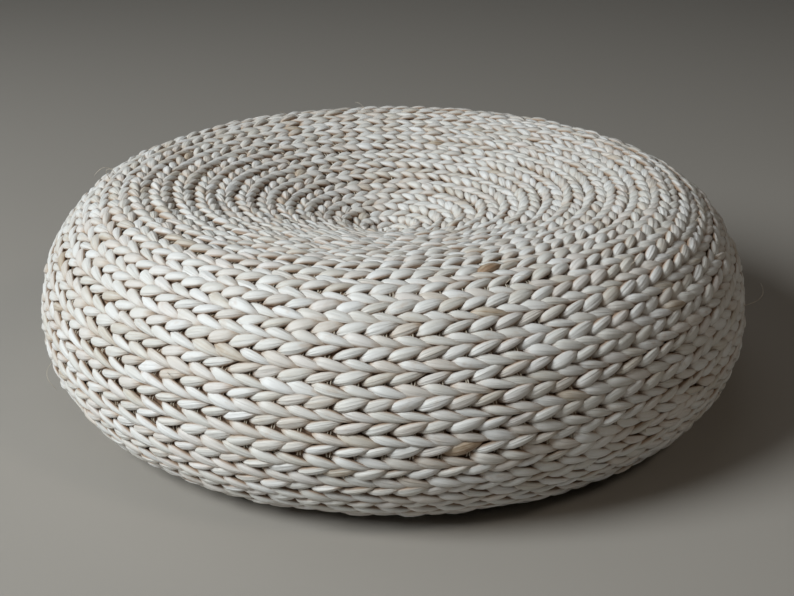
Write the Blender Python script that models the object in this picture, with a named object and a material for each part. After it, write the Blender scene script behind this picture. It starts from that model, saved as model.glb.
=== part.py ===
"""Coiled straw pouf: one plait of dried leaf strips, coiled from the middle of the
top and sewn to itself over a filled cushion.  Metres, +Z up.  The origin is the
middle of the underside, on the floor."""

import math

import bmesh
import bpy
import numpy as np

# ---- driving dimensions ------------------------------------------------------
RADIUS = 0.300            # widest part of the drum
HEIGHT = 0.180            # floor to the crown
WIDEST_HEIGHT = 0.076     # height of the widest part above the floor
CROWN_RADIUS = 0.213      # ring where the top is highest
FOOT_RADIUS = 0.238       # edge of the flat underside

DISH_DEPTH = 0.049        # middle of the seat below the crown
DISH_POWER = 1.5          # 1 would be a plain cone, 2 a soft bowl
DISH_OFFSET = (-0.010, -0.004)    # the hand-coiled middle sits a little off centre
DISH_OFFSET_RADIUS = 0.160        # the coils are true to the rim from here out

COURSE_WIDTH = 0.0177     # one turn of the plait to the next, along the surface
CHANNEL_DEPTH = 0.0035    # sewn groove between two turns
ROWS_PER_COURSE = 3       # groove, shoulder, shoulder
STEPS_PER_TURN = 56
START_LENGTH = 0.008      # the plait's first curl closes on a button this far out
START_BEARING = math.radians(36)
SAG = 0.0095              # the turns lie this much further out at the front
SAG_BEARING = math.radians(-90)   # than at the sides, and further in at the back

CURVE_STEPS = 400         # fine steps used to measure along the meridian

STRAW = (0.660, 0.610, 0.510, 1.0)
STRAW_ROUGHNESS = 0.62


def clear_scene():
    for obj in list(bpy.data.objects):
        bpy.data.objects.remove(obj, do_unlink=True)


def meridian():
    """Half of the cross-section, from the middle of the seat to the foot's edge.

    Returns arc length, radius and height arrays: a dished seat, then a quarter
    ellipse over the crown to the widest ring, then another in under the drum.
    """
    turn = np.linspace(0.0, math.pi / 2, CURVE_STEPS)
    seat_r = np.linspace(0.0, CROWN_RADIUS, CURVE_STEPS)
    seat_z = HEIGHT - DISH_DEPTH * (1.0 - seat_r / CROWN_RADIUS) ** DISH_POWER
    shoulder_r = CROWN_RADIUS + (RADIUS - CROWN_RADIUS) * np.sin(turn)
    shoulder_z = WIDEST_HEIGHT + (HEIGHT - WIDEST_HEIGHT) * np.cos(turn)
    haunch_r = FOOT_RADIUS + (RADIUS - FOOT_RADIUS) * np.cos(turn)
    haunch_z = WIDEST_HEIGHT * (1.0 - np.sin(turn))
    r = np.concatenate([seat_r, shoulder_r[1:], haunch_r[1:]])
    z = np.concatenate([seat_z, shoulder_z[1:], haunch_z[1:]])
    length = np.concatenate([[0.0], np.cumsum(np.hypot(np.diff(r), np.diff(z)))])
    return length, r, z


def course_inset(row, length, full_length):
    """How far a row lies inside the drum's outline: grooves between the turns,
    each fading out over one course at the button and at the foot's edge."""
    if row % ROWS_PER_COURSE:
        return 0.0
    to_end = min(length - START_LENGTH, full_length - length)
    return CHANNEL_DEPTH * min(1.0, to_end / COURSE_WIDTH)


def course_length(along, angle, full_length):
    """Distance from the middle of the seat, along the meridian, of a line that is
    this many courses out, with the sag of the turns worked in."""
    length = along * COURSE_WIDTH
    settled = 1.0 - max(0.0, 1.0 - max(0.0, length) / DISH_OFFSET_RADIUS) ** 2
    length += SAG * math.cos(angle - SAG_BEARING) * settled
    return min(max(length, START_LENGTH), full_length)


def surface_point(curve, length, angle, inset):
    """Point on the drum at an arc length and a bearing, sunk inwards by inset."""
    lengths, radii, heights = curve
    r = float(np.interp(length, lengths, radii))
    z = float(np.interp(length, lengths, heights))
    # outward normal of the meridian, from a short chord either side
    reach = COURSE_WIDTH / 8
    dr = float(np.interp(length + reach, lengths, radii))
    dr -= float(np.interp(length - reach, lengths, radii))
    dz = float(np.interp(length + reach, lengths, heights))
    dz -= float(np.interp(length - reach, lengths, heights))
    chord = math.hypot(dr, dz)
    r += inset * dz / chord
    z -= inset * dr / chord
    drift = max(0.0, 1.0 - r / DISH_OFFSET_RADIUS) ** 2
    x = r * math.cos(angle) + DISH_OFFSET[0] * drift
    y = r * math.sin(angle) + DISH_OFFSET[1] * drift
    return x, y, z


def coil_mesh():
    """The whole skin as one spiral strip of courses, capped at both ends.

    Columns of the strip follow each other clockwise, and the rows of a column
    step outwards by a third of a course, so the last row of one turn is the
    first row of the next.
    Lengths are held between the button and the foot's edge, which lets the coil
    start from a round button and run out on a round, flat foot.
    """
    curve = meridian()
    full_length = float(curve[0][-1])
    turns = math.ceil((full_length + SAG) / COURSE_WIDTH) + 1
    bm = bmesh.new()
    columns = []
    for i in range(turns * STEPS_PER_TURN + 1):
        angle = START_BEARING - 2 * math.pi * (i % STEPS_PER_TURN) / STEPS_PER_TURN
        column = []
        for row in range(ROWS_PER_COURSE + 1):
            along = i / STEPS_PER_TURN - 1.0 + row / ROWS_PER_COURSE
            length = course_length(along, angle, full_length)
            inset = course_inset(row, length, full_length)
            column.append(bm.verts.new(surface_point(curve, length, angle, inset)))
        columns.append(column)
    for left, right in zip(columns, columns[1:]):
        for row in range(ROWS_PER_COURSE):
            bm.faces.new((left[row], left[row + 1], right[row + 1], right[row]))
    bmesh.ops.remove_doubles(bm, verts=bm.verts, dist=1e-5)
    bmesh.ops.dissolve_degenerate(bm, edges=bm.edges, dist=1e-5)
    open_edges = [e for e in bm.edges if e.is_boundary]
    bmesh.ops.holes_fill(bm, edges=open_edges, sides=0)
    bmesh.ops.recalc_face_normals(bm, faces=bm.faces)
    mesh = bpy.data.meshes.new("coiled_pouf")
    bm.to_mesh(mesh)
    bm.free()
    mesh.shade_smooth()
    mesh.set_sharp_from_angle(angle=math.radians(55))
    return mesh


def straw_material():
    material = bpy.data.materials.new("dried_leaf_plait")
    material.use_nodes = True
    shader = material.node_tree.nodes["Principled BSDF"]
    shader.inputs["Base Color"].default_value = STRAW
    shader.inputs["Roughness"].default_value = STRAW_ROUGHNESS
    shader.inputs["Metallic"].default_value = 0.0
    return material


def build():
    clear_scene()
    mesh = coil_mesh()
    mesh.materials.append(straw_material())
    pouf = bpy.data.objects.new("coiled_pouf", mesh)
    bpy.context.scene.collection.objects.link(pouf)
    return pouf


build()
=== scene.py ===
import math

import bpy
import numpy as np
from mathutils import Euler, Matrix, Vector


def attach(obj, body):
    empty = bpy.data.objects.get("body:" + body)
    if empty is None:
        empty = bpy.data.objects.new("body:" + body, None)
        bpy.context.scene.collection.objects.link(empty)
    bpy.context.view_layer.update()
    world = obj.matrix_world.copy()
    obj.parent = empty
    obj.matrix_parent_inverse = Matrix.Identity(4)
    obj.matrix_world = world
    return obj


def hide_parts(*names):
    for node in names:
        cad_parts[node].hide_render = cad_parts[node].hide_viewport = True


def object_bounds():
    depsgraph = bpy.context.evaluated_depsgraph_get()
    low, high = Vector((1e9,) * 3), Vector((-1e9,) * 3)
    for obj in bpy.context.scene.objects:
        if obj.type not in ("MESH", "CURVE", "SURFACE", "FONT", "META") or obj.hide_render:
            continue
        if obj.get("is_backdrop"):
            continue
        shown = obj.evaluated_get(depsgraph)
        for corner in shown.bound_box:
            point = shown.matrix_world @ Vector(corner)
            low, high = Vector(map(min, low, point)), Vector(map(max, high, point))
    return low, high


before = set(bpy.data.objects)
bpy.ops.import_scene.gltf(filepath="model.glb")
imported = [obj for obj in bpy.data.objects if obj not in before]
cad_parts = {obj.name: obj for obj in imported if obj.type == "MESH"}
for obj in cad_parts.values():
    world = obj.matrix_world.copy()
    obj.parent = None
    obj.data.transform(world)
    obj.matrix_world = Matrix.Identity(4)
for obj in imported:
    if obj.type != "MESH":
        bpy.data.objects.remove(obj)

low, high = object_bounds()

# the drum under the plait: the seat's dish, the crown, the sides and the foot
drum = {
    "radius": (high.x - low.x) / 2,
    "height": high.z - low.z,
    "widest": 0.422,          # height of the widest ring, of the height
    "crown": 0.710,           # radius of the highest ring, of the radius
    "foot": 0.793,            # radius of the flat underside, of the radius
    "dish": 0.272,            # depth of the seat, of the height
    "dishPower": 1.5,
    "drift": (-0.010, -0.004),  # the coiled middle sits a little off centre
    "driftRadius": 0.160,
    "steps": 400,
}


class Drum:
    # the skin of the drum, read by length along its cross-section and bearing
    def __init__(self, size):
        top, wide = size["height"], size["height"] * size["widest"]
        crown, rim = size["radius"] * size["crown"], size["radius"]
        foot = rim * size["foot"]
        turn = np.linspace(0, math.pi / 2, size["steps"])
        seat = np.linspace(0, crown, size["steps"])
        seatZ = top - top * size["dish"] * (1 - seat / crown) ** size["dishPower"]
        under = np.linspace(foot, 0, size["steps"])
        self.radii = np.concatenate([
            seat, crown + (rim - crown) * np.sin(turn[1:]),
            foot + (rim - foot) * np.cos(turn[1:]), under[1:]])
        self.heights = np.concatenate([
            seatZ, wide + (top - wide) * np.cos(turn[1:]),
            wide * (1 - np.sin(turn[1:])), 0 * under[1:]])
        chords = np.hypot(np.diff(self.radii), np.diff(self.heights))
        self.lengths = np.concatenate([[0], np.cumsum(chords)])
        self.full = float(self.lengths[-1])
        self.crownAt = float(self.lengths[size["steps"] - 1])
        self.footAt = float(self.lengths[3 * size["steps"] - 3])
        self.drift, self.driftRadius = size["drift"], size["driftRadius"]

    def radius(self, length):
        return np.interp(length, self.lengths, self.radii)

    def height(self, length):
        return np.interp(length, self.lengths, self.heights)

    def normal(self, length, bearing, reach=0.004):
        dr = self.radius(length + reach) - self.radius(length - reach)
        dz = self.height(length + reach) - self.height(length - reach)
        chord = np.maximum(np.hypot(dr, dz), 1e-9)
        outR, outZ = -dz / chord, dr / chord
        return np.stack([outR * np.cos(bearing), outR * np.sin(bearing), outZ], -1)

    def point(self, length, bearing, lift=0.0):
        r = self.radius(length)
        spot = np.stack([r * np.cos(bearing), r * np.sin(bearing),
                         self.height(length)], -1)
        spot = spot + np.asarray(lift)[..., None] * self.normal(length, bearing)
        onTop = np.asarray(length) < self.crownAt
        fade = np.where(onTop, np.clip(1 - r / self.driftRadius, 0, 1) ** 2, 0)
        spot[..., 0] += self.drift[0] * fade
        spot[..., 1] += self.drift[1] * fade
        return spot


# the plait and how its leaves lie; sizes across it are shares of its width
plait = {
    "width": 0.0177,          # one turn to the next
    # leaf to leaf along the plait, by distance out over the skin
    "pitch": [(0.008, 0.0085), (0.05, 0.0128), (0.17, 0.0134), (0.19, 0.0139),
              (0.23, 0.0157), (0.28, 0.0181), (0.34, 0.0197)],
    "pitchSway": 0.05, "swayBearing": math.radians(165),
    "firstCurl": -0.45,       # the plait's end runs on over the middle, in its widths
    "startBearing": math.radians(421),
    "sag": 0.0095,            # turns lie this much further out at the front
    "sagBearing": math.radians(-90),
    # how far the outer edge of a turn stands over the next, by distance out
    "tilt": [(0.14, -0.10), (0.21, 0.12), (0.27, 0.08), (0.31, 0.00)],
    "inset": 0.0044,          # middle of the plait below the drum's outline
    "lengths": 14,            # lengths that the plait is worked in
    "wobble": 0.0004, "wobbleSpacing": 0.05,   # wander from side to side
    "rise": 0.0003, "riseSpacing": 0.04,       # wander up and down
    "fall": 0.315,            # how far it is rounded over towards its edges
    # the turns are drawn narrower in the seat and low on the sides
    "gather": [(0.15, 0.90), (0.21, 1.00), (0.30, 0.98), (0.36, 0.92)],
}
# first value for the leaves from the plait's inner edge, second for the outer
leaf = {
    "start": (-0.67, -0.51),  # where a leaf comes out, in half turns of its strip
    "end": (0.57, 0.59),      # where its tip is tucked in
    "edge": (0.47, 0.47),     # how far from the plait's middle it comes out
    "tip": (-0.02, -0.06),    # and goes in
    "wide": (0.262, 0.258),   # half its width
    "thick": (0.165, 0.165),  # half its thickness
    "drop": (0.22, 0.24),     # how deep its two ends are tucked
    "angle": (0.26, 0.34),
    "roll": 0.10,             # how far it leans away at the plait's edge
    "stray": 1.5,             # how uneven the leaves are, over all
    "uneven": {"reach": 0.04, "shift": 0.03, "across": 0.02, "wide": 0.13,
               "thick": 0.15, "lift": 0.0005, "angle": 0.06, "lean": 0.14},
    "leastWide": 0.12,        # width left at its two ends, of its full width
    "leastThick": 0.20,
    "crease": 0.06,           # lengthwise folds: three round it
    "secondCrease": 0.045,    # and five
    "blunt": (0.66, 0.82),    # the smaller, the blunter its first end
    "drawn": (1.45, 1.25),    # the larger, the finer its tip
}


def makeMesh(name, points, faces, smooth=True):
    mesh = bpy.data.meshes.new(name)
    mesh.from_pydata(points, [], faces)
    mesh.validate()
    if smooth:
        mesh.shade_smooth()
    piece = bpy.data.objects.new(name, mesh)
    bpy.context.scene.collection.objects.link(piece)
    return piece


def addLayer(piece, name, values):
    layer = piece.data.attributes.new(name, "FLOAT", "POINT")
    layer.data.foreach_set("value", np.asarray(values, "float32").ravel())


class Coil:
    # the spiral that the plait follows, from the middle of the underside to the
    # middle of the seat
    def __init__(self, skin, settings):
        wide, self.settings, self.skin = settings["width"], settings, skin
        end = settings["startBearing"]
        start = end - 2 * math.pi * (skin.full / wide - 2 * settings["firstCurl"])
        self.bearings = np.linspace(start, end, int((end - start) * 60))
        self.mids = self.mid(self.bearings)
        r = skin.radius(self.mids)
        step = np.hypot(np.diff(self.bearings) * (r[1:] + r[:-1]) / 2,
                        np.diff(self.mids))
        self.walked = np.concatenate([[0], np.cumsum(step)])
        places, sizes = zip(*settings["pitch"])
        pitch = np.interp(self.mids, [*places, skin.full - 0.05, skin.full],
                          [*sizes, sizes[-1], sizes[0]])
        pitch = pitch * (1 + settings["pitchSway"]
                         * np.cos(self.bearings - settings["swayBearing"]))
        rate = 2 * math.pi / (3 * pitch)
        self.phases = np.concatenate(
            [[0], np.cumsum((rate[1:] + rate[:-1]) / 2 * np.diff(self.walked))])

    def mid(self, bearing):
        turns = (self.settings["startBearing"] - bearing) / (2 * math.pi)
        return self.settings["width"] * (self.settings["firstCurl"] + turns)

    def sag(self, length, bearing):
        drift, skin = self.skin.driftRadius, self.skin
        settled = 1 - np.clip(1 - length / drift, 0, 1) ** 2
        settled = settled * np.clip((skin.full - length) / (skin.full - skin.footAt), 0, 1)
        return self.settings["sag"] * np.cos(bearing - self.settings["sagBearing"]) * settled

    def bearing(self, phase):
        return np.interp(phase, self.phases, self.bearings)


def smoothNoise(spots, spacing, seed):
    # gentle random wander along a line, even in size
    dice = np.random.default_rng(seed)
    knots = dice.normal(size=int(np.max(spots) / spacing) + 4)
    at = spots / spacing
    i = np.floor(at).astype(int)
    t = at - i
    t = t * t * (3 - 2 * t)
    return knots[i] * (1 - t) + knots[i + 1] * t


fine = {"steps": np.array([0.0, 0.05, 0.15, 0.30, 0.48, 0.66, 0.82, 0.93, 1.0]),
        "turns": np.radians([-90, -40, -8, 27, 60, 90, 120, 153, 188, 220])}
coarse = {"steps": np.array([0.0, 0.12, 0.38, 0.66, 0.88, 1.0]),    # for the underside
          "turns": np.radians([-90, -10, 35, 75, 115, 155, 200])}


def strandRings(skin, coil, settings, shape, detail, strand, firstLeaf, lastLeaf, looks):
    # rings of one strip of the plait, leaf after leaf; a leaf is the stretch
    # that shows between two dives under the other strips
    which = np.repeat(np.arange(firstLeaf, lastLeaf), len(detail["steps"]))
    t = np.tile(detail["steps"], lastLeaf - firstLeaf)
    dice = looks["rows"][strand][which % looks["count"]]   # this leaf's random numbers
    flip = np.where(which % 2 == 0, -1.0, 1.0)             # which edge it comes from
    pick = {key: np.where(flip < 0, *pair) for key, pair in shape.items()
            if isinstance(pair, tuple)}
    place = pick["start"] + (pick["end"] - pick["start"]) * t
    stray, uneven = shape["stray"], shape["uneven"]
    place = place * (1 + uneven["reach"] * stray * dice[:, 0]) \
        + uneven["shift"] * stray * dice[:, 4]
    theta = (which + place) * math.pi - math.pi / 4
    bearing = coil.bearing(theta - strand * 2 * math.pi / 3)
    mid = coil.mid(bearing)
    mid = mid + coil.sag(mid, bearing)
    walked = np.interp(bearing, coil.bearings, coil.walked)

    wide = settings["width"]
    blunt, drawn = pick["blunt"], pick["drawn"]
    widest = blunt / (blunt + drawn)
    swell = (t / widest) ** blunt * ((1 - t) / (1 - widest)) ** drawn
    across = pick["edge"] + (pick["tip"] - pick["edge"]) * t
    across = wide * (across + uneven["across"] * stray * dice[:, 1])
    least = shape["leastWide"]
    halfWide = wide * pick["wide"] * (least + (1 - least) * swell)
    halfWide = halfWide * (1 + uneven["wide"] * stray * dice[:, 2])
    least = shape["leastThick"]
    halfThick = wide * pick["thick"] * (least + (1 - least) * swell)
    halfThick = halfThick * (1 + uneven["thick"] * stray * dice[:, 3])
    gather = np.interp(mid, *zip(*settings["gather"]))
    across, halfWide = gather * across, gather * halfWide
    arch = (1 - 4 * t * (1 - t)) ** 2 * (0.8 + 0.5 * t)    # 0 at mid leaf, its tip deeper
    lift = -wide * pick["drop"] * arch - settings["fall"] * across ** 2 / wide
    lift = lift + uneven["lift"] * stray * dice[:, 4] * (1 - arch)
    offset = flip * across
    tilt = np.interp(mid, *zip(*settings["tilt"]))
    lift = lift + tilt * offset - settings["inset"]
    lift = lift + settings["rise"] * smoothNoise(walked, settings["riseSpacing"], 12)
    wander = smoothNoise(walked, settings["wobbleSpacing"], 11)
    offset = offset + settings["wobble"] * wander

    along = np.stack([-np.sin(bearing), np.cos(bearing), 0 * bearing], -1)
    length = mid + offset
    crossed = (length < 0) | (length > skin.full)          # over the very middle
    length = skin.full - np.abs(skin.full - np.abs(length))
    bearing = bearing + math.pi * crossed
    up = skin.normal(length, bearing)
    centre = skin.point(length, bearing, lift)
    side = np.cross(along, up)
    angle = flip * (pick["angle"] + uneven["angle"] * stray * dice[:, 5])
    c, s = np.cos(angle)[:, None], np.sin(angle)[:, None]
    side = c * side + s * along
    roll = -shape["roll"] * flip * across / (wide * pick["edge"])
    roll = roll + uneven["lean"] * dice[:, 6]
    c, s = np.cos(roll)[:, None], np.sin(roll)[:, None]
    side, up = c * side + s * up, c * up - s * side
    turn = detail["turns"][None, :]
    crease = 1 + shape["crease"] * np.cos(3 * turn + 3 * dice[:, 5:6]) \
        + shape["secondCrease"] * dice[:, 3:4] * np.cos(5 * turn + 3 * dice[:, 1:2])
    out = halfWide[:, None] * np.cos(turn) * crease
    rise = halfThick[:, None] * np.sin(turn) * crease
    rings = centre[:, None] + out[..., None] * side[:, None] + rise[..., None] * up[:, None]
    run = np.concatenate([[0], np.cumsum(np.linalg.norm(np.diff(centre, axis=0), axis=1))])
    return rings, {"leafPlace": t, "leafTint": dice[:, 7], "leafTone": dice[:, 8],
                   "run": run}


# the leaves that have browned most: bearing in degrees, distance out, tint
brownLeaves = [(287, 0.226, 0.03), (284, 0.262, 0.24), (278, 0.362, 0.08), (296, 0.340, 0.26),
               (262, 0.384, 0.24), (204, 0.330, 0.22), (198, 0.305, 0.16), (246, 0.300, 0.26),
               (318, 0.300, 0.24), (70, 0.150, 0.14), (120, 0.185, 0.18), (140, 0.110, 0.20),
               (35, 0.120, 0.24), (160, 0.200, 0.20), (15, 0.300, 0.16), (100, 0.330, 0.14)]


def nearestLeaf(skin, coil, settings, leafCount, bearing, length):
    # the strip, and the leaf in it, that shows at a given spot
    best = (9.0, 0, 0)
    which = np.arange(2, leafCount - 2)
    for strand in range(3):
        spots = coil.bearing(which * math.pi - math.pi / 4 - strand * 2 * math.pi / 3)
        mid = coil.mid(spots)
        flip = np.where(which % 2 == 0, -1.0, 1.0)
        mid = mid + coil.sag(mid, spots) + flip * settings["width"] / 4
        apart = np.hypot((np.mod(spots - bearing + math.pi, 2 * math.pi) - math.pi)
                         * skin.radius(mid), mid - length)
        i = int(np.argmin(apart))
        best = min(best, (float(apart[i]), strand, int(which[i])))
    return best[1:]


def buildLength(name, number, skin, coil, settings, shape, looks):
    # one worked length of the plait: three closed strips side by side
    lastPhase = coil.phases[-1]
    cuts = np.linspace(0, lastPhase, settings["lengths"] + 1) / math.pi
    points, faces, layers = [], [], {}
    middle = np.interp((cuts[number] + cuts[number + 1]) / 2 * math.pi, coil.phases, coil.mids)
    detail = coarse if middle > skin.footAt else fine
    turns = detail["turns"]
    girth = (turns - turns[0]) / (2 * math.pi)
    around = len(turns)
    lines = []
    for strand in range(3):
        shift = strand * 2 / 3 + 0.25
        firstLeaf = math.ceil(cuts[number] + shift)
        lastLeaf = math.ceil(cuts[number + 1] + shift)
        if number == settings["lengths"] - 1:
            lastLeaf -= 1
        rings, facts = strandRings(skin, coil, settings, shape, detail, strand,
                                   firstLeaf, lastLeaf, looks)
        rings[..., 2] = np.maximum(rings[..., 2], 0)      # pressed flat on the floor
        count = len(rings)
        base = sum(len(p) for p in points)
        points.append(rings.reshape(-1, 3))
        ids = base + np.arange(count * around).reshape(count, around)
        nextIds = np.roll(ids, -1, axis=1)
        quads = np.stack([ids[:-1], nextIds[:-1], nextIds[1:], ids[1:]], -1)
        faces.append(quads.reshape(-1, 4))
        lines.append((count, ids[0][::-1].tolist(), ids[-1].tolist()))
        for key, values in facts.items():
            layers.setdefault(key, []).append(np.repeat(values, around))
        layers.setdefault("girth", []).append(np.tile(girth, count))
    quads = np.concatenate(faces)
    caps = [cap for line in lines for cap in line[1:]]
    piece = makeMesh(name, np.concatenate(points).tolist(), quads.tolist() + caps)
    for key, values in layers.items():
        addLayer(piece, key, np.concatenate(values))
    layOutBake(piece, lines, around, girth)
    return piece


def layOutBake(piece, lines, around, girth):
    # the strips laid side by side in rows, each face with a place of its own
    rings = sum(line[0] - 1 for line in lines)
    perRow = max(8, int(math.sqrt(rings * 8.3)))
    rows = sum(math.ceil((line[0] - 1) / perRow) for line in lines)
    capBand = 0.012
    tall = (1 - capBand) / rows
    edges = np.append(girth, 1.0)
    spots = []
    row = 0
    for line in lines:
        count = line[0] - 1
        i = np.arange(count)
        left = (i % perRow) / perRow
        right = left + 1 / perRow
        bottom = (row + i // perRow) * tall
        row += math.ceil(count / perRow)
        j = np.arange(around)
        lowV = bottom[:, None] + tall * (0.03 + 0.94 * edges[j][None, :])
        highV = bottom[:, None] + tall * (0.03 + 0.94 * edges[j + 1][None, :])
        leftU = np.broadcast_to(left[:, None], lowV.shape)
        rightU = np.broadcast_to(right[:, None], lowV.shape)
        quad = np.stack([np.stack([leftU, lowV], -1), np.stack([leftU, highV], -1),
                         np.stack([rightU, highV], -1), np.stack([rightU, lowV], -1)], 2)
        spots.append(quad.reshape(-1, 2))
    ring = np.arange(around) / around * 2 * math.pi
    for i in range(2 * len(lines)):
        disc = np.stack([np.cos(ring), np.sin(ring)], -1) * capBand * 0.4
        disc += [(i + 0.5) * capBand, 1 - capBand / 2]
        spots.append(disc if i % 2 else disc[::-1])
    layer = piece.data.uv_layers.new(name="OFBake")
    layer.data.foreach_set("uv", np.concatenate(spots).astype("float32").ravel())


thread = {
    "radius": 0.00042,
    "apart": 0.0010,          # half the gap between the two passes of a stitch
    "reach": 0.0034,          # half its length
    "ahead": 0.30,            # beyond the leaf it holds, in leaf pitches
    "depth": 0.0052,          # below the drum's outline
    "sink": 0.0022,           # its two ends go this much deeper
    "firstAt": 0.02,          # no stitch shows nearer the middle than this
    "stray": 0.0006, "shift": 0.0008, "depthStray": 0.0005,
    "sides": 4,
}


def buildThread(skin, coil, settings, stitch):
    # pairs of short passes across the seam from one turn to the next, one pair
    # to each leaf that comes from the outer edge
    steps = np.arange(coil.phases[0] + math.pi, coil.phases[-1] - math.pi, 2 * math.pi / 3)
    bearing = coil.bearing(steps + (stitch["ahead"] - 0.5) * 2 * math.pi / 3)
    seam = coil.mid(bearing) + settings["width"] / 2
    seam = seam + coil.sag(seam, bearing)
    shown = (seam < skin.footAt) & (seam > stitch["firstAt"])
    bearing, seam = bearing[shown], seam[shown]
    dice = np.random.default_rng(31).uniform(-1, 1, (2, len(bearing), 5))
    points, faces, base = [], [], 0
    spin = np.arange(stitch["sides"]) * 2 * math.pi / stitch["sides"]
    for half in range(2):
        r = np.maximum(skin.radius(seam), 0.01)
        mark = (2 * half - 1) * stitch["apart"] * (1 + 0.4 * dice[half, :, 0])
        mark = mark + stitch["shift"] * dice[0, :, 4]
        rings = []
        for step in (-1.0, -0.35, 0.35, 1.0):
            turn = bearing + (mark + stitch["stray"] * step * dice[half, :, 1]) / r
            length = seam + step * stitch["reach"] + stitch["stray"] * dice[half, :, 2]
            depth = -stitch["depth"] - stitch["sink"] * (abs(step) > 0.9)
            depth = depth + stitch["depthStray"] * dice[half, :, 3]
            centre = skin.point(length, turn, depth + 0 * length)
            up = skin.normal(length, turn)
            along = np.stack([-np.sin(turn), np.cos(turn), 0 * turn], -1)
            size = stitch["radius"] * (1 + 0.2 * dice[half, :, 1])[:, None, None]
            rings.append(centre[:, None] + size * (
                np.cos(spin)[:, None] * along[:, None] + np.sin(spin)[:, None] * up[:, None]))
        block = np.stack(rings, 1)                 # stitch, ring, side, xyz
        ids = base + np.arange(block[..., 0].size).reshape(block.shape[:3])
        nextIds = np.roll(ids, -1, axis=2)
        quads = np.stack([ids[:, :-1], nextIds[:, :-1], nextIds[:, 1:], ids[:, 1:]], -1)
        faces += quads.reshape(-1, 4).tolist()
        faces += ids[:, 0, ::-1].tolist() + ids[:, -1].tolist()
        points.append(block.reshape(-1, 3))
        base += block[..., 0].size
    return makeMesh("sewingThread", np.concatenate(points).tolist(), faces)


# loose fibres: bearing in degrees, distance out, length, how far it stands off, curl
fibres = [(174, 0.246, 0.020, 0.012, 1.0), (176, 0.250, 0.016, 0.010, -1.0),
          (343, 0.352, 0.026, 0.016, -0.6), (340, 0.262, 0.024, 0.006, 0.5),
          (28, 0.205, 0.030, 0.005, 0.4), (14, 0.222, 0.026, 0.008, -0.5),
          (96, 0.212, 0.016, 0.008, 0.6), (118, 0.214, 0.014, 0.007, -0.4),
          (196, 0.400, 0.028, 0.010, 0.8), (288, 0.245, 0.018, 0.004, 0.4),
          (312, 0.258, 0.020, 0.004, -0.4), (60, 0.300, 0.026, 0.009, 0.5),
          (236, 0.330, 0.016, 0.003, 0.5), (268, 0.205, 0.014, 0.003, -0.6)]
fibre = {"radius": 0.00028, "sides": 4, "steps": 9, "rootDepth": 0.004}


def buildFibres(skin, coil, table, settings):
    steps, sides = settings["steps"], settings["sides"]
    t = np.linspace(0, 1, steps)
    spin = np.arange(sides) * 2 * math.pi / sides
    points, faces = [], []
    for number, (degrees, distance, reach, rise, curl) in enumerate(table):
        bearing = math.radians(degrees)
        turn = bearing + reach * t * (1 - 0.5 * abs(curl) * t) / skin.radius(distance)
        length = distance + reach * curl * t ** 2 * 0.7
        lift = rise * (1 - (1 - t) ** 2) * (1 - 0.5 * abs(curl) * t ** 2)
        lift = lift - settings["rootDepth"] * (1 - t) ** 4
        centre = skin.point(length, turn, lift)
        up = skin.normal(length, turn)
        along = np.gradient(centre, axis=0)
        side = np.cross(along, up)
        side /= np.linalg.norm(side, axis=1)[:, None]
        size = settings["radius"] * (1 - 0.6 * t)[:, None, None]
        ring = centre[:, None] + size * (np.cos(spin)[:, None] * side[:, None]
                                         + np.sin(spin)[:, None] * up[:, None])
        ids = number * steps * sides + np.arange(steps * sides).reshape(steps, sides)
        nextIds = np.roll(ids, -1, axis=1)
        quads = np.stack([ids[:-1], nextIds[:-1], nextIds[1:], ids[1:]], -1)
        faces += quads.reshape(-1, 4).tolist() + [ids[0][::-1].tolist(), ids[-1].tolist()]
        points.append(ring.reshape(-1, 3))
    return makeMesh("looseFibres", np.concatenate(points).tolist(), faces)


threadFinish = {
    "tints": [(0.3, (0.50, 0.43, 0.33)), (0.7, (0.70, 0.64, 0.54))],
    "grain": 900.0, "rough": 0.8,
}


def threadMaterial(settings):
    f = Finish("creamThread")
    spot = f.node("ShaderNodeTexCoord", out="Object")
    ply = f.noise(spot, settings["grain"], 2.0)
    return f.put(Base_Color=f.ramp(ply, settings["tints"]), Roughness=settings["rough"])


class Link:
    # a socket, or a plain number, that can stand in an expression
    def __init__(self, finish, socket):
        self.finish, self.socket = finish, socket

    def math(self, kind, *others, clamp=False):
        return self.finish.node("ShaderNodeMath", {"operation": kind, "use_clamp": clamp},
                                [self, *others])

    def __add__(self, other):
        return self.math("ADD", other)

    def __radd__(self, other):
        return self.math("ADD", other)

    def __sub__(self, other):
        return self.math("SUBTRACT", other)

    def __rsub__(self, other):
        return self.finish.node("ShaderNodeMath", {"operation": "SUBTRACT"}, [other, self])

    def __mul__(self, other):
        return self.math("MULTIPLY", other)

    def __rmul__(self, other):
        return self.math("MULTIPLY", other)

    def clamp(self):
        return self.math("ADD", 0.0, clamp=True)


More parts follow.
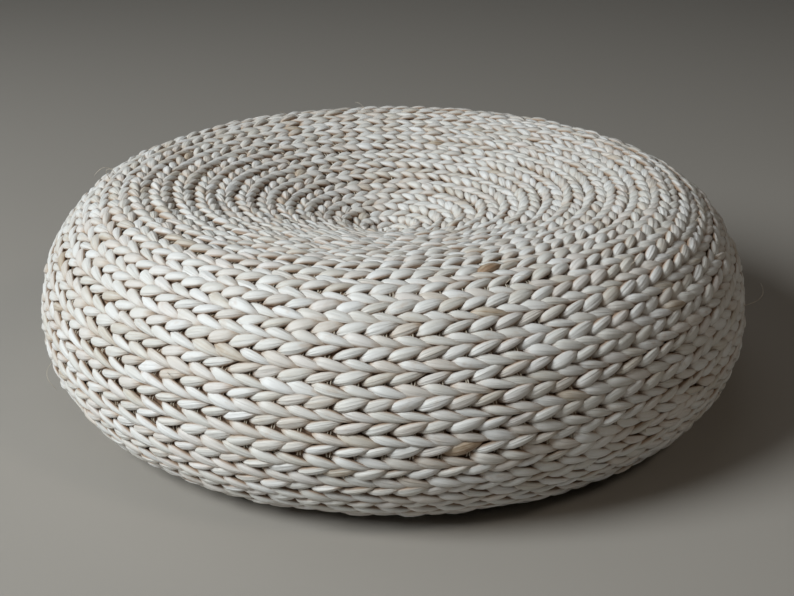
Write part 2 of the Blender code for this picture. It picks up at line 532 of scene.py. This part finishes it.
class Finish:
    # a material and the nodes behind it
    def __init__(self, name):
        self.material = bpy.data.materials.new(name)
        self.material.use_nodes = True
        self.tree = self.material.node_tree
        self.shader = self.tree.nodes["Principled BSDF"]

    def node(self, kind, settings=None, inputs=(), out=0):
        made = self.tree.nodes.new(kind)
        for key, value in (settings or {}).items():
            if key == "stops":
                ramp = made.color_ramp
                while len(ramp.elements) < len(value):
                    ramp.elements.new(0.5)
                for stop, (spot, colour) in zip(ramp.elements, value):
                    stop.position, stop.color = spot, (*colour, 1.0)
            else:
                setattr(made, key, value)
        pairs = inputs.items() if isinstance(inputs, dict) else enumerate(inputs)
        for key, value in pairs:
            self.join(made.inputs[key], value)
        return Link(self, made.outputs[out])

    def join(self, pin, value):
        if isinstance(value, Link):
            self.tree.links.new(value.socket, pin)
        else:
            pin.default_value = value

    def layer(self, name):
        return self.node("ShaderNodeAttribute", {"attribute_name": name}, out="Fac")

    def mix(self, amount, first, second):
        return self.node("ShaderNodeMix", {"data_type": "RGBA"},
                         {0: amount, 6: first, 7: second}, out=2)

    def ramp(self, value, stops):
        return self.node("ShaderNodeValToRGB", {"stops": stops}, [value])

    def span(self, value, lowIn, highIn, lowOut=0.0, highOut=1.0):
        return self.node("ShaderNodeMapRange", {"interpolation_type": "SMOOTHSTEP"},
                         [value, lowIn, highIn, lowOut, highOut])

    def grid(self, x, y, z=0.0):
        return self.node("ShaderNodeCombineXYZ", inputs=[x, y, z])

    def noise(self, vector, scale, detail=2.0, rough=0.5):
        return self.node("ShaderNodeTexNoise", inputs={
            "Vector": vector, "Scale": scale, "Detail": detail, "Roughness": rough})

    def bump(self, height, strength, distance):
        made = self.node("ShaderNodeBump", inputs={
            "Strength": strength, "Distance": distance, "Height": height})
        self.join(self.shader.inputs["Normal"], made)

    def put(self, **values):
        for key, value in values.items():
            self.join(self.shader.inputs[key.replace("_", " ")], value)
        return self.material


leafFinish = {
    "tints": [(0.00, (0.330, 0.220, 0.140)), (0.10, (0.480, 0.380, 0.275)),
              (0.26, (0.630, 0.570, 0.485)), (0.48, (0.720, 0.700, 0.650)),
              (0.76, (0.790, 0.785, 0.760)), (1.00, (0.840, 0.840, 0.830))],
    "tint": (0.69, 0.15), "darkest": 0.33,   # mean and spread of the leaves' tints
    "tuckBrownAndShade": (0.455, 0.310, 0.195, 1.0),      # browned, with painted shade, where a strip is tucked in
    "dry": (0.560, 0.440, 0.330, 1.0),       # dull patches
    "rosy": (0.690, 0.600, 0.530, 1.0),      # some leaves dried a little pink
    "edge": (0.330, 0.205, 0.120, 1.0),      # painted shade where its sides curve under
    "rough": (0.40, 0.58),
    # how fine the marks are: along a leaf, round it, from leaf to leaf
    "fibreGrain": (22, 52, 90), "foldGrain": (30, 12, 50), "patchGrain": (70, 3, 70),
    "bump": 0.75, "bumpDepth": 0.0020,
}


def leafMaterial(settings):
    f = Finish("driedLeaf")
    place, run, girth = f.layer("leafPlace"), f.layer("run"), f.layer("girth")
    tint, tone = f.layer("leafTint"), f.layer("leafTone")
    x, y, z = settings["fibreGrain"]
    fibres = f.noise(f.grid(run * x, girth * y, tint * z), 1.0, 4.0, 0.62)
    x, y, z = settings["foldGrain"]
    folds = f.noise(f.grid(run * x, girth * y, tone * z), 1.0, 2.0, 0.5)
    x, y, z = settings["patchGrain"]
    patch = f.noise(f.grid(run * x, girth * y, tone * z), 1.0, 3.0, 0.6)
    marks = (fibres - 0.5) * 0.30 + (folds - 0.5) * 0.55 + (patch - 0.5) * 0.45
    shade = (tint + marks).clamp()
    colour = f.ramp(shade, settings["tints"])
    colour = f.mix(f.span(patch, 0.56, 0.78, 0.0, 0.45), colour, settings["dry"])
    colour = f.mix(f.span(tone, 0.55, 0.95, 0.0, 0.40), colour, settings["rosy"])
    # the leaf's two ends near its tucks: browning that varies from leaf to leaf, with painted
    # shade where the ends go under
    ends = f.span(place, 0.58, 0.88) + f.span(place, 0.20, 0.02)
    stainAndShade = (ends * f.span(tone, 0.2, 1.0, 0.45, 1.0) * (0.6 + (patch - 0.45) * 2.2)).clamp()
    colour = f.mix(stainAndShade, colour, settings["tuckBrownAndShade"])
    # painted shade: the leaf's sides, where it curves under, are mixed towards dark brown
    rim = f.span((girth - 0.5) * (girth - 0.5), 0.008, 0.060)
    colour = f.mix(rim * 0.90, colour, settings["edge"])
    f.bump(fibres * 0.16 + folds * 0.84, settings["bump"], settings["bumpDepth"])
    return f.put(Base_Color=colour,
                 Roughness=f.span(fibres, 0.3, 0.7, *settings["rough"]))


# the brown inside that shows between the leaves, dark with painted shade of the gaps
core = {
    "depth": 0.0073,          # below the drum's outline
    "middleDepth": 0.45, "middleReach": 0.04,    # shallower near the two middles
    "gap": 0.004,             # how near the middles its rings come
    "rows": 80, "columns": 90,
    # brown tints, the darkest of them painted shade in the gaps
    "tints": [(0.30, (0.110, 0.062, 0.038)), (0.55, (0.260, 0.165, 0.105)),
              (0.80, (0.450, 0.340, 0.240))],
    "grain": 160.0, "rough": 0.9,
}


def coreMaterial(settings):
    f = Finish("coreBrownAndPaintedShade")
    spot = f.node("ShaderNodeTexCoord", out="Object")
    mottle = f.noise(spot, settings["grain"], 3.0)
    f.bump(mottle, 0.6, 0.002)
    return f.put(Base_Color=f.ramp(mottle, settings["tints"]), Roughness=settings["rough"])


def buildCore(skin, settings):
    rows, columns = settings["rows"], settings["columns"]
    length = np.linspace(settings["gap"], skin.full - settings["gap"], rows)
    bearing = np.arange(columns) * 2 * math.pi / columns
    grid = np.meshgrid(length, bearing, indexing="ij")
    depth = settings["depth"] * np.clip(
        settings["middleDepth"] + grid[0] / settings["middleReach"], 0, 1)
    spots = skin.point(grid[0], grid[1], -depth)
    points = spots.reshape(-1, 3).tolist()
    ids = np.arange(rows * columns).reshape(rows, columns)
    nextIds = np.roll(ids, -1, axis=1)
    quads = np.stack([ids[:-1], ids[1:], nextIds[1:], nextIds[:-1]], -1).reshape(-1, 4)
    faces = quads.tolist() + [ids[0].tolist(), ids[-1][::-1].tolist()]
    return makeMesh("poufCore", points, faces)


print("drum and coil")
skin = Drum(drum)
coil = Coil(skin, plait)
leafCount = int(coil.phases[-1] / math.pi) + 8
rows = []
for strand in range(3):
    dice = np.random.default_rng(100 + strand)
    table = dice.uniform(-1, 1, (leafCount, 9))
    table[:, 7] = np.clip(dice.normal(*leafFinish["tint"], leafCount),
                          leafFinish["darkest"], 1)
    table[:, 8] = dice.uniform(size=leafCount)
    rows.append(table)
for bearing, length, tint in brownLeaves:
    strand, which = nearestLeaf(skin, coil, plait, leafCount, math.radians(bearing), length)
    rows[strand][which, 7:9] = tint, 0.5
looks = {"rows": rows, "count": leafCount}
leafPaint = leafMaterial(leafFinish)
for number in range(plait["lengths"]):
    name = f"plaitLength{number + 1:02d}"
    piece = buildLength(name, number, skin, coil, plait, leaf, looks)
    piece.data.materials.append(leafPaint)
    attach(piece, "root")
    if number == 0:
        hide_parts("coiled_pouf")
print("plait laid,", leafCount * 3, "leaves")

threadPaint = threadMaterial(threadFinish)
for piece in (buildThread(skin, coil, plait, thread),
              buildFibres(skin, coil, fibres, fibre)):
    piece.data.materials.append(threadPaint)
    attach(piece, "root")
print("sewn")

coreBody = buildCore(skin, core)
coreBody.data.materials.append(coreMaterial(core))
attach(coreBody, "root")
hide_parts("coiled_pouf")

# floor, light and camera
room = {
    "floorSize": 6.0, "floorDrop": 0.0005,
    "floorColour": (0.370, 0.345, 0.312, 1.0),
    "sky": 0.012, "skyColour": (1.0, 0.87, 0.72, 1.0),
    "aim": (0, 0, 0.08),      # what the lamps point at
    "key": {"place": (-2.02, -1.06, 1.76), "size": 1.4, "power": 80,
            "colour": (0.93, 0.98, 1.0)},
    "fill": {"place": (1.5, -1.2, 2.1), "size": 0.6, "power": 6.0,
             "colour": (1.0, 0.89, 0.76)},
    "top": {"place": (-0.2, 0.4, 2.4), "size": 1.8, "power": 3.0, "colour": (1.0, 1.0, 1.0)},
}
camera = {"place": (-0.021, -1.093, 0.529), "pitch": 22.97, "yaw": 1.25, "lens": 61.6}


def buildRoom(settings):
    half = settings["floorSize"] / 2
    corners = [(-half, -half, 0), (half, -half, 0), (half, half, 0), (-half, half, 0)]
    floor = makeMesh("floor", corners, [(0, 1, 2, 3)], smooth=False)
    f = Finish("paleFloor")
    floor.data.materials.append(f.put(Base_Color=settings["floorColour"], Roughness=0.7))
    floor.location.z = -settings["floorDrop"]
    floor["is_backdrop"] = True
    world = bpy.data.worlds.new("studio")
    world.use_nodes = True
    backdrop = world.node_tree.nodes["Background"]
    backdrop.inputs["Color"].default_value = settings["skyColour"]
    backdrop.inputs["Strength"].default_value = settings["sky"]
    bpy.context.scene.world = world
    for name in ("key", "fill", "top"):
        facts = settings[name]
        lamp = bpy.data.lights.new(name, "AREA")
        lamp.shape, lamp.size = "DISK", facts["size"]
        lamp.energy, lamp.color = facts["power"], facts["colour"]
        stand = bpy.data.objects.new(name, lamp)
        stand.location = facts["place"]
        aim = Vector(settings["aim"]) - stand.location
        stand.rotation_euler = aim.to_track_quat("-Z", "Y").to_euler()
        bpy.context.scene.collection.objects.link(stand)


def buildCamera(settings):
    lens = bpy.data.cameras.new("camera")
    lens.lens, lens.sensor_width = settings["lens"], 36.0
    stand = bpy.data.objects.new("camera", lens)
    stand.location = settings["place"]
    stand.rotation_euler = Euler((math.radians(90 - settings["pitch"]), 0,
                                  -math.radians(settings["yaw"])))
    bpy.context.scene.collection.objects.link(stand)
    bpy.context.scene.camera = stand


buildRoom(room)
buildCamera(camera)
bpy.context.scene.view_settings.view_transform = "Standard"
low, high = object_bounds()
